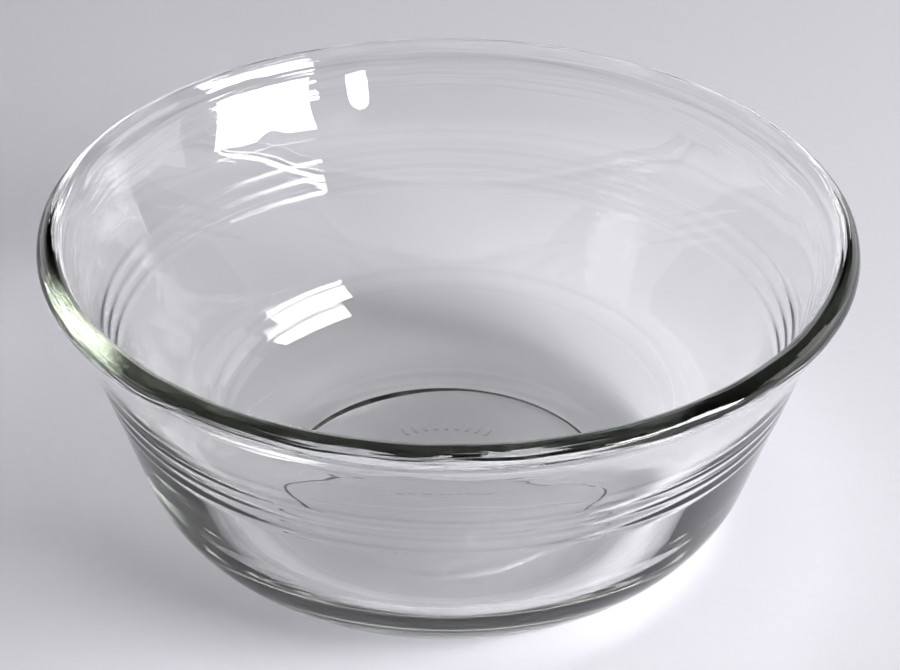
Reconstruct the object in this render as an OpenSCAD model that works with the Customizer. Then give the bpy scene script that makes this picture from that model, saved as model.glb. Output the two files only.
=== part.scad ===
// A clear glass prep bowl: one pressed piece, with a beaded rim, a flare under the rim, a wall with
// three thin raised rings that thickens downward, a big round heel and a thick floor that stands on
// a narrow ring. Millimetres. The bowl stands on the plane z = 0 with its axis on Z.

/* [Bowl] */
// Widest size across the rim bead
rim_diameter = 120.5; // [112:0.5:130]
// Height from the table to the top of the rim
height = 50; // [45:0.5:55]
// Thickness of the flare just under the bead, square to its outer face
rim_wall = 3.7; // [3.3:0.1:4]

/* [Outside] */
// Lean of the flare under the rim, in degrees from upright
flare_lean = 27; // [24:0.5:30]
// Depth of that flare, from the top of the rim
flare_depth = 11.5; // [10:0.5:13]
// Lean of the wall below the flare, in degrees from upright
wall_lean = 17.5; // [15:0.5:20]

/* [Inside] */
// Lean of the wall inside, from the rim to the corner, in degrees from upright
inner_lean = 20; // [18.5:0.5:21.5]

/* [Rim] */
// Diameter of the round bead along the rim
bead_diameter = 4.2; // [4:0.1:5]

/* [Rings] */
// How many thin rings run round the outside
ring_count = 3; // [1:1:4]
// Height of the top ring
ring_height = 32.8; // [28:0.2:36]
// Drop from one ring to the next
ring_spacing = 2.5; // [1.8:0.05:3.2]
// Width of each ring where it leaves the wall
ring_width = 1.4; // [1:0.1:1.8]
// How far each ring stands out from the wall
ring_proud = 0.2; // [0.15:0.05:0.3]

/* [Base] */
// Radius of the rounded heel outside
heel_radius = 18.5; // [14:0.5:21]
// Radius of the rounded corner inside, between floor and wall
floor_radius = 15; // [13:0.5:18]
// Thickness of the floor, from the table to the inside
floor_thickness = 5.5; // [4:0.1:6.5]
// Diameter of the shallow hollow under the floor
hollow_diameter = 49.6; // [42:0.2:52]
// Depth of that hollow
hollow_depth = 0.7; // [0.4:0.1:1.2]

/* [Hidden] */
$fn = 180;
glass = [0.86, 0.93, 0.89, 0.45];

bead_radius = bead_diameter / 2;
bead = [rim_diameter / 2 - bead_radius, height - bead_radius];
// The outside of the flare is one thickness away from the inside of the bead
flare_top = bead + (rim_wall - bead_radius) * square_to(flare_lean);
flare_foot = on_line(flare_top, flare_lean, height - flare_depth);
// The wall inside touches the bead here
inner_top = bead - bead_radius * square_to(inner_lean);
// The heel and the inside corner are round about these points, and touch the walls here
heel = corner(flare_foot, wall_lean, 0, heel_radius);
heel_touch = heel + heel_radius * square_to(wall_lean);
inside = corner(inner_top, inner_lean, floor_thickness, floor_radius);
inside_touch = inside + floor_radius * square_to(inner_lean);
// A ring is part of a circle with its middle sunk in the wall
ring_radius = (pow(ring_width / 2, 2) + pow(ring_proud, 2)) / (2 * ring_proud);
// Cuts reach this far past what they cut
past = 5;

// The direction square to a leaning face, outward
function square_to(lean) = [cos(lean), -sin(lean)];

// The point at height z on the leaning line through p
function on_line(p, lean, z) = [p[0] + (z - p[1]) * tan(lean), z];

// The middle of a round corner of radius r between a level floor at z and the leaning line through p
function corner(p, lean, z, r) = on_line(p - r * square_to(lean), lean, z + r);

// Everything inside the outer face, below the bead
module outer_half() {
    polygon([
        [0, 0],
        [heel[0], 0],
        heel_touch,
        flare_foot,
        flare_top,
        inner_top,
        [0, inner_top[1]]
    ]);
    translate(heel) circle(heel_radius);
}

// Everything inside the inner face, and past the rim
module inner_half() {
    polygon([
        [-past, floor_thickness],
        [inside[0], floor_thickness],
        inside_touch,
        inner_top,
        [inner_top[0], height + past],
        [-past, height + past]
    ]);
    translate(inside) circle(floor_radius);
}

// One ring at height z, on the outside of the wall
module ring(z) {
    face = on_line(flare_foot, wall_lean, z);
    translate(face + (ring_proud - ring_radius) * square_to(wall_lean)) circle(ring_radius, $fn = 48);
}

// Half of the cut through the bowl, from the axis outward
module half_section() {
    difference() {
        union() {
            difference() {
                outer_half();
                inner_half();
            }
            translate(bead) circle(bead_radius, $fn = 72);
            for (n = [0 : ring_count - 1]) ring(ring_height - n * ring_spacing);
        }
        translate([-past, -past]) square([past + hollow_diameter / 2, past + hollow_depth]);
        translate([-past, -past]) square([past, height + 3 * past]);
    }
}

module bowl() {
    color(glass) rotate_extrude() half_section();
}

bowl();
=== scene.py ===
# %% [markdown]
# # A clear glass prep bowl
# The real bowl is one pressed piece of clear glass: a rounded bead along the rim, a flare that leads
# out to it, three thin raised rings round the outside, a wall that thickens downward, a big round
# heel, and a thick floor that stands on a narrow ring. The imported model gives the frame: where the
# bowl is and how large it is. This lesson replaces its plain solid with a finished one.

# %% Load the frame
import math
import bpy
from mathutils import Matrix, Vector, noise


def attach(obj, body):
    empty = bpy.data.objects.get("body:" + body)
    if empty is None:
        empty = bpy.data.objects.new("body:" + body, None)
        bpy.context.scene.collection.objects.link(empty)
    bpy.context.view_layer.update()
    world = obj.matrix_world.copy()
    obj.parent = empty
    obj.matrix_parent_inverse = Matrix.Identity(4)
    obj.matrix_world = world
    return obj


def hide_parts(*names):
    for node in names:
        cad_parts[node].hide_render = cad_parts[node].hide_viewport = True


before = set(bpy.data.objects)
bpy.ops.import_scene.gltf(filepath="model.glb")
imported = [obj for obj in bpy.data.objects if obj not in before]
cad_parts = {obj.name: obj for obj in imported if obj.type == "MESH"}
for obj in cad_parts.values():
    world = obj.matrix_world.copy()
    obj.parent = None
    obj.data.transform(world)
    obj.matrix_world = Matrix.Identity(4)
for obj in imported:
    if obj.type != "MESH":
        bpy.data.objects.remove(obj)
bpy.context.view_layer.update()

# %% [markdown]
# ## Sizes
# The sizes are the ones that the solid was drawn with, in millimetres. Glass shows every change
# of slope, so the finish needs the same slopes as the solid. It only softens the corners: the neck
# under the bead, the foot of the flare, the rings, and the edge of the hollow under the floor.

# %% Sizes of the bowl
MM = 0.001
RIM_RADIUS = 60.25
HEIGHT = 50.0
BEAD = 2.1  # radius of the bead
NECK = 4.0  # radius of the neck under the bead
RIM_WALL = 3.7
FLARE_LEAN = math.radians(27)
FLARE_DEPTH = 11.5
FLARE_BEND = 3.5  # how far the bend at its foot is softened, up and down
WALL_LEAN = math.radians(17.5)
INNER_LEAN = math.radians(20)
RING_COUNT = 3
RING_HEIGHT = 32.8  # of the top ring
RING_STEP = 2.5
RING_PROUD = 0.088
RING_HALF = 0.7  # half the width of a ring
HEEL_RADIUS = 18.5
FLOOR = 5.5
FLOOR_RADIUS = 15.0
HOLLOW_RADIUS = 24.8
HOLLOW_DEPTH = 0.7
HOLLOW_EDGE = 0.27  # half the width of its sloping edge
EDGE_SOFT = 0.15  # how far the two ends of that slope are softened
AXIS_GAP = 1.5  # first ring of points round the axis
LINED_FROM = 42.5  # the fine lines of the rim start here on the inside
print("rim", 2 * RIM_RADIUS, "mm across,", HEIGHT, "mm high")

# %% [markdown]
# ## The profile
# A pressed bowl is a turned shape, so one half of its cut is drawn and spun. A lathe profile could
# also be a curve with a Screw modifier. Points are used here, because their spacing can follow the
# shape: far apart on the straight walls, and close on the bead and the rings, where the glass bends
# the light most. The path starts in the middle of the floor, goes up the inside, over the bead,
# down the outside over the rings, round the heel and back to the middle underneath.

# %% Points of the half section
def square_out(lean):
    """The direction square to a leaning wall, outward."""
    return Vector((math.cos(lean), -math.sin(lean)))


def at_height(point, lean, z):
    """Where the leaning line through a point reaches a height."""
    return Vector((point.x + (z - point.y) * math.tan(lean), z))


def corner_middle(point, lean, floor, radius):
    """The middle of a round corner between a level floor and the leaning line through a point."""
    return at_height(point - radius * square_out(lean), lean, floor + radius)


def run(start, end, count):
    """Evenly spaced points of a straight run, without its end."""
    return [start.lerp(end, n / count) for n in range(count)]


def sweep(middle, radius, start, end, count):
    """Points of an arc between two angles in degrees, without its end."""
    turns = [math.radians(start + (end - start) * n / count) for n in range(count)]
    return [middle + radius * Vector((math.cos(a), math.sin(a))) for a in turns]


def blend(start, corner, end, count):
    """Points of a soft bend that leaves and meets two straight runs, without its end."""
    return [start.lerp(corner, n / count).lerp(corner.lerp(end, n / count), n / count)
            for n in range(count)]


def soft_bend(corner, lean_above, lean_below, reach, count):
    """The top of a bend between two slopes, softened over a reach up and down, and its points."""
    top = at_height(corner, lean_above, corner.y + reach)
    foot = at_height(corner, lean_below, corner.y - reach)
    return top, blend(foot, corner, top, count)


bead_middle = Vector((RIM_RADIUS - BEAD, HEIGHT - BEAD))
flare_top = bead_middle + (RIM_WALL - BEAD) * square_out(FLARE_LEAN)
flare_foot = at_height(flare_top, FLARE_LEAN, HEIGHT - FLARE_DEPTH)
inner_top = bead_middle - BEAD * square_out(INNER_LEAN)
heel = corner_middle(flare_foot, WALL_LEAN, 0, HEEL_RADIUS)
heel_touch = heel + HEEL_RADIUS * square_out(WALL_LEAN)
lined_foot = at_height(inner_top, INNER_LEAN, LINED_FROM)
inside = corner_middle(inner_top, INNER_LEAN, FLOOR, FLOOR_RADIUS)
inside_touch = inside + FLOOR_RADIUS * square_out(INNER_LEAN)
flare_high, flare_bend = soft_bend(flare_foot, FLARE_LEAN, WALL_LEAN, FLARE_BEND, 18)
ring_zone_top = at_height(flare_foot, WALL_LEAN, RING_HEIGHT + 1.45)
ring_zone_foot = at_height(flare_foot, WALL_LEAN, RING_HEIGHT - (RING_COUNT - 1) * RING_STEP - 2.0)

# The hollow neck under the bead is an arc that touches the bead and the flare
neck_side = RIM_WALL - BEAD + NECK
neck_drop = math.sqrt((BEAD + NECK) ** 2 - neck_side ** 2)
flare_up = Vector((math.sin(FLARE_LEAN), math.cos(FLARE_LEAN)))
neck_middle = bead_middle + neck_side * square_out(FLARE_LEAN) - neck_drop * flare_up
to_bead = bead_middle - neck_middle
bead_end = math.degrees(math.atan2(-to_bead.y, -to_bead.x))
neck_start = math.degrees(math.atan2(to_bead.y, to_bead.x))
neck_foot = neck_middle - NECK * square_out(FLARE_LEAN)

profile = [Vector((0, FLOOR))]
profile += run(Vector((AXIS_GAP, FLOOR)), Vector((inside.x, FLOOR)), 8)
profile += sweep(inside, FLOOR_RADIUS, -90, -math.degrees(INNER_LEAN), 20)
profile += run(inside_touch, lined_foot, 8)
profile += run(lined_foot, inner_top, 34)
profile += sweep(bead_middle, BEAD, 180 - math.degrees(INNER_LEAN), bead_end, 64)
profile += sweep(neck_middle, NECK, neck_start, 180 - math.degrees(FLARE_LEAN), 10)
profile += run(neck_foot, flare_high, 3)
profile += flare_bend[::-1]
for point in run(ring_zone_top, ring_zone_foot, 42):
    lift = sum(math.exp(-((point.y - RING_HEIGHT + n * RING_STEP) / RING_HALF) ** 2)
               for n in range(RING_COUNT))
    profile.append(point + lift * RING_PROUD * square_out(WALL_LEAN))
profile += run(ring_zone_foot, heel_touch, 6)
profile += sweep(heel, HEEL_RADIUS, -math.degrees(WALL_LEAN), -90, 20)

# Underneath: the standing ring, the sloping edge of the hollow, and the hollow itself, with more
# points where the raised bars come
edge_foot = Vector((HOLLOW_RADIUS + HOLLOW_EDGE, 0))
edge_top = Vector((HOLLOW_RADIUS - HOLLOW_EDGE, HOLLOW_DEPTH))
low_end, high_end = edge_foot.lerp(edge_top, 0.15), edge_foot.lerp(edge_top, 0.85)
soft = Vector((EDGE_SOFT, 0))
bars_outside, bars_inside = Vector((17, HOLLOW_DEPTH)), Vector((11.6, HOLLOW_DEPTH))
near_axis = Vector((AXIS_GAP, HOLLOW_DEPTH))
profile += run(Vector((heel.x, 0)), edge_foot + soft, 3)
profile += blend(edge_foot + soft, edge_foot, low_end, 4)
profile += run(low_end, high_end, 2)
profile += blend(high_end, edge_top, edge_top - soft, 4)
profile += run(edge_top - soft, bars_outside, 5)
profile += run(bars_outside, bars_inside, 15)
profile += run(bars_inside, near_axis, 5)
profile += [near_axis, Vector((0, HOLLOW_DEPTH))]
print(len(profile), "points in the profile")

# %% [markdown]
# ## Drawing and spinning it
# The line is drawn the way it would be by hand: one vertex is extruded along the profile, point by
# point. Spin then carries the line round the Z axis. Its last copy lies on its first and every copy
# has its own point on the axis, so doubles are merged before the normals are turned outwards.

# %% Spin the profile
def deselect_all():
    bpy.ops.object.select_all(action="DESELECT")


STEPS = 360
SAME_PLACE = 0.000002
deselect_all()
bpy.ops.mesh.primitive_plane_add(size=MM, location=(0, 0, 0))
bowl = bpy.context.object
bowl.name = "pressed_glass_bowl"
bpy.ops.object.mode_set(mode="EDIT")
bpy.ops.mesh.select_all(action="SELECT")
bpy.ops.mesh.merge(type="CENTER")
bpy.ops.transform.translate(value=(profile[0].x * MM, 0, profile[0].y * MM))
for before, after in zip(profile, profile[1:]):
    step = ((after.x - before.x) * MM, 0, (after.y - before.y) * MM)
    bpy.ops.mesh.extrude_region_move(TRANSFORM_OT_translate={"value": step})
bpy.ops.mesh.select_all(action="SELECT")
bpy.ops.mesh.spin(steps=STEPS, angle=math.tau, center=(0, 0, 0), axis=(0, 0, 1))
bpy.ops.mesh.select_all(action="SELECT")
bpy.ops.mesh.remove_doubles(threshold=SAME_PLACE)
bpy.ops.mesh.normals_make_consistent(inside=False)
bpy.ops.object.mode_set(mode="OBJECT")
bpy.ops.object.shade_smooth()
print(bowl.name, len(bowl.data.vertices), "vertices", len(bowl.data.polygons), "faces")

# %% [markdown]
# ## Uneven glass
# Pressed glass is never quite true. Its faces ripple slowly, and the rim, which was melted smooth
# after pressing, has fine lines that run along it and wander. The mould left two shallow marks on
# the outside of the flare, and two short rows of plain raised bars under the floor. A bump map
# would only change the shading, and glass shows its ripples through the far side too, so the points
# themselves move along their normals, by less than a tenth of a millimetre in most places. All of
# them first sink a little, so that no ripple passes the solid's box. The edge of the hollow isn't
# even either: its slope is wider at the back left.

# %% Ripple the faces and the rim
SINK = 0.07  # millimetres
BROAD, BROAD_DEPTH = 0.09, 0.09  # swells in each millimetre, and how deep they are
CLOSE, CLOSE_DEPTH = 0.2, 0.03
CALM = 0.08  # share of the ripples that is left below the flare
CALM_BELOW, CALM_FADE = 36.5, 3.5
OUTSIDE_LINED_FROM, LINED_FADE = HEIGHT - 5.5, 2.0
LINES, LINE_DEPTH = 2.7, 0.055  # lines in each millimetre across the rim, and how deep they are
WANDER = 0.7
WAVE_DEPTH = 0.035


def limit(value, low=0.0):
    """A value kept between a low end and 1."""
    return max(low, min(1.0, value))


def ring_place(around, turns, up):
    """A place on a circle in the noise, so that what it gives closes after one turn."""
    return Vector((math.cos(around) * turns, math.sin(around) * turns, up))


def ripple(place, around, across, inner):
    """How far a point of the glass moves along its normal, in millimetres."""
    slow = (noise.noise(place * BROAD) * BROAD_DEPTH
            + noise.noise(place * CLOSE + Vector((7, 3, 1))) * CLOSE_DEPTH)
    slow *= limit((place.z - CALM_BELOW) / CALM_FADE, CALM)
    on_rim = limit((place.z - (LINED_FROM if inner else OUTSIDE_LINED_FROM)) / LINED_FADE)
    wander = noise.noise(ring_place(around, 5.0, 3.0)) * WANDER
    line = ring_place(around, 1.8, (across + wander) * LINES)
    wave = ring_place(around, 6.0, across * 0.4)
    fine = noise.noise(line) * LINE_DEPTH + noise.noise(wave) * WAVE_DEPTH
    off_axis = min(1.0, math.hypot(place.x, place.y) / 10.0)
    return (slow * (1 - on_rim) + fine * on_rim - SINK) * off_axis


# Each mark: where it is, in degrees round the axis and millimetres up, its half width and half
# height, and its depth
FOLD_TURN, FOLD_UP, FOLD_WIDE, FOLD_HIGH, FOLD_DEPTH = 105.4, 42.4, 3.3, 4.0, 0.36
DIMPLE_TURN, DIMPLE_UP, DIMPLE_SIZE, DIMPLE_DEPTH = 122.8, 39.4, 1.7, 0.09


def mark(around, place, out):
    """How far two mould marks on the outside of the flare move a point, in millimetres."""
    if out < at_height(inner_top, INNER_LEAN, place.z).x + 1.2:
        return 0.0
    turn = math.degrees(around)
    side = math.radians(turn - FOLD_TURN) * out / FOLD_WIDE
    rise = (place.z - FOLD_UP) / FOLD_HIGH
    total = -FOLD_DEPTH * side * math.exp(-side ** 2 / 2) * math.exp(-rise ** 4)
    side = math.radians(turn - DIMPLE_TURN) * out / DIMPLE_SIZE
    rise = (place.z - DIMPLE_UP) / DIMPLE_SIZE
    return total - DIMPLE_DEPTH * math.exp(-side ** 2 - rise ** 2)


# The bars: the middles of their two rows and how far a row reaches each way, in degrees; the circle
# that they stand on, half a bar's length and width, and its depth, in millimetres
BACK_ROW, FRONT_ROW, ROW_REACH, BAR_PITCH = 90, -100, 31, 6.9
BAR_CIRCLE, BAR_LONG, BAR_WIDE, BAR_DEPTH = 14.2, 1.5, 0.6, 0.12


def bar(around, out):
    """How far the underside stands down at one place, in millimetres, for the raised bars."""
    turn = math.degrees(around)
    row = BACK_ROW if turn > 0 else FRONT_ROW
    along = (out - BAR_CIRCLE) / BAR_LONG
    if abs(turn - row) > ROW_REACH or abs(along) > 1:
        return 0.0
    side = math.radians((turn - row + ROW_REACH) % BAR_PITCH - BAR_PITCH / 2) * out
    return BAR_DEPTH * max(0.0, 1 - (side / BAR_WIDE) ** 2) * max(0.0, 1 - along ** 4)


EDGE_WIDER, WIDEST_TURN, WIDER_REACH = 1.05, 115, 30


def lopsided(around, place):
    """How far the edge of the hollow reaches in at one place, in millimetres."""
    away = (math.degrees(around) - WIDEST_TURN) / WIDER_REACH
    return EDGE_WIDER * place.z / HOLLOW_DEPTH * math.exp(-away ** 2)


moved = []
for v in bowl.data.vertices:
    place = v.co / MM
    out = math.hypot(place.x, place.y)
    around = math.atan2(place.y, place.x)
    across = math.atan2(place.z - bead_middle.y, out - bead_middle.x) * BEAD
    inner = place.z < inner_top.y and out < at_height(inner_top, INNER_LEAN, place.z).x + 0.05
    if inner:
        across = (math.pi - INNER_LEAN) * BEAD + (inner_top.y - place.z) / math.cos(INNER_LEAN)
    shift = v.normal * (ripple(place, around, across, inner) + mark(around, place, out))
    if place.z < 1 and out < HOLLOW_RADIUS - 1:
        shift = Vector((0, 0, -bar(around, out)))
    elif place.z < 1 and out < HOLLOW_RADIUS + HOLLOW_EDGE:
        shift -= ring_place(around, lopsided(around, place), 0)
    moved.append(v.co + shift * MM)
for v, co in zip(bowl.data.vertices, moved):
    v.co = co
bowl.data.update()
print("rippled", len(moved), "points")

# %% [markdown]
# ## The glass
# Clear glass is one Principled shader with full transmission. Its faint green shows only where the
# light goes a long way through it, along the rim and the heel, so the colour is in the volume and
# not on the surface. A few specks of dust lie on the surface.

# %% Clear glass
glass = bpy.data.materials.new("clear pressed glass")
glass.use_nodes = True
nodes, links = glass.node_tree.nodes, glass.node_tree.links
shader = nodes["Principled BSDF"]
shader.inputs["Roughness"].default_value = 0.0
shader.inputs["IOR"].default_value = 1.5
shader.inputs["Transmission Weight"].default_value = 1.0
where = nodes.new("ShaderNodeTexCoord")
cells = nodes.new("ShaderNodeTexVoronoi")
cells.inputs["Scale"].default_value = 48.0
speck = nodes.new("ShaderNodeMapRange")
speck.inputs["From Min"].default_value = 0.006
speck.inputs["From Max"].default_value = 0.014
speck.inputs["To Min"].default_value = 0.3
speck.inputs["To Max"].default_value = 1.0
links.new(where.outputs["Object"], cells.inputs["Vector"])
links.new(cells.outputs["Distance"], speck.inputs["Value"])
links.new(speck.outputs["Result"], shader.inputs["Base Color"])
tint = nodes.new("ShaderNodeVolumeAbsorption")
tint.inputs["Color"].default_value = (0.57, 0.60, 0.54, 1)
tint.inputs["Density"].default_value = 22.0
links.new(tint.outputs["Volume"], nodes["Material Output"].inputs["Volume"])
bowl.data.materials.append(glass)
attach(bowl, "root")
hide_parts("bowl")
print("glass on", bowl.name)

# %% [markdown]
# ## The floor
# The bowl stands on a sheet of pale paper with a cool grey tone.

# %% Paper floor
deselect_all()
bpy.ops.mesh.primitive_grid_add(x_subdivisions=2, y_subdivisions=2, size=1.6, location=(0, 0.1, 0))
paper = bpy.context.object
paper.name = "paper floor"
pale = bpy.data.materials.new("pale paper")
pale.use_nodes = True
pale_shader = pale.node_tree.nodes["Principled BSDF"]
pale_shader.inputs["Roughness"].default_value = 0.9
pale_shader.inputs["Specular IOR Level"].default_value = 0.1
pale_nodes, pale_links = pale.node_tree.nodes, pale.node_tree.links
sheet = pale_nodes.new("ShaderNodeTexCoord")
fibre = pale_nodes.new("ShaderNodeTexNoise")
fibre.inputs["Scale"].default_value = 700.0
fibre.inputs["Detail"].default_value = 4.0
tone = pale_nodes.new("ShaderNodeMix")
tone.data_type = "RGBA"
tone.inputs["A"].default_value = (0.685, 0.675, 0.725, 1)
tone.inputs["B"].default_value = (0.715, 0.705, 0.755, 1)
pale_links.new(sheet.outputs["Object"], fibre.inputs["Vector"])
pale_links.new(fibre.outputs["Fac"], tone.inputs["Factor"])
pale_links.new(tone.outputs["Result"], pale_shader.inputs["Base Color"])
paper.data.materials.append(pale)
print("floor", tuple(paper.dimensions))

# %% [markdown]
# ## Light
# A bright window stands low at the front right. Its reflections are the white patches on the left of
# the bowl. A dimmer window stands further round to the right. The room is pale near the horizon and
# dark above it: the pale part brings up the paper and the heel, and the dark part draws the rim.

# %% Lights and world
def upright_light(name, azimuth, distance, low, high, width, watts):
    """A soft upright rectangle round the bowl; azimuth in degrees from the front to the right."""
    lamp = bpy.data.lights.new(name, "AREA")
    lamp.shape = "RECTANGLE"
    lamp.size, lamp.size_y = width, high - low
    lamp.energy = watts
    holder = bpy.data.objects.new(name, lamp)
    bpy.context.collection.objects.link(holder)
    way = Vector((math.sin(math.radians(azimuth)), -math.cos(math.radians(azimuth)), 0))
    holder.location = way * distance + Vector((0, 0, (low + high) / 2))
    holder.rotation_euler = way.to_track_quat("Z", "Y").to_euler()
    return holder


key = upright_light("window", 61.4, 0.9, 0.244, 0.731, 0.585, 20.7)
side = upright_light("side window", 108, 0.9, 0.23, 0.65, 0.54, 1.5)
world = bpy.data.worlds.new("dim room")
bpy.context.scene.world = world
world.use_nodes = True
room = world.node_tree.nodes
direction = room.new("ShaderNodeTexCoord")
height = room.new("ShaderNodeVectorMath")
height.operation = "DOT_PRODUCT"
height.inputs[1].default_value = (0.0, -0.1, 1.0)
fall = room.new("ShaderNodeMapRange")
fall.inputs["From Min"].default_value = 0.17
fall.inputs["From Max"].default_value = 0.38
fall.inputs["To Min"].default_value = 1.55
fall.inputs["To Max"].default_value = 0.008
world.node_tree.links.new(direction.outputs["Generated"], height.inputs[0])
world.node_tree.links.new(height.outputs["Value"], fall.inputs["Value"])
world.node_tree.links.new(fall.outputs["Result"], room["Background"].inputs["Strength"])
room["Background"].inputs["Color"].default_value = (1.0, 1.0, 1.03, 1)
print("lights", key.name, side.name)

# %% [markdown]
# ## Camera
# The camera stands where the photographer's did: a long lens, looking down at the bowl.

# %% Camera
lens = bpy.data.cameras.new("camera")
lens.lens = 110.0
lens.sensor_width = 36.0
lens.clip_start = 0.01
camera = bpy.data.objects.new("camera", lens)
bpy.context.collection.objects.link(camera)
DISTANCE, AIM = 0.4145, 0.0296  # metres: from the point it looks at, and that point's height
PITCH, PAN, ROLL = math.radians(32.79), math.radians(-0.06), 0.0120
stand = Vector((0, -DISTANCE * math.cos(PITCH), AIM + DISTANCE * math.sin(PITCH)))
camera.matrix_world = (Matrix.Translation(stand) @ Matrix.Rotation(PAN, 4, "Z")
                       @ Matrix.Rotation(math.pi / 2 - PITCH, 4, "X")
                       @ Matrix.Rotation(ROLL, 4, "Z"))
scene = bpy.context.scene
scene.camera = camera
scene.view_settings.view_transform = "Standard"
scene.cycles.max_bounces = 32
scene.cycles.transmission_bounces = 32
scene.cycles.glossy_bounces = 16
scene.cycles.caustics_refractive = True
scene.cycles.caustics_reflective = True
scene.cycles.blur_glossy = 0.0
scene.cycles.sample_clamp_indirect = 0.0
scene.cycles.use_denoising = True
print("camera at", tuple(round(v, 4) for v in stand))
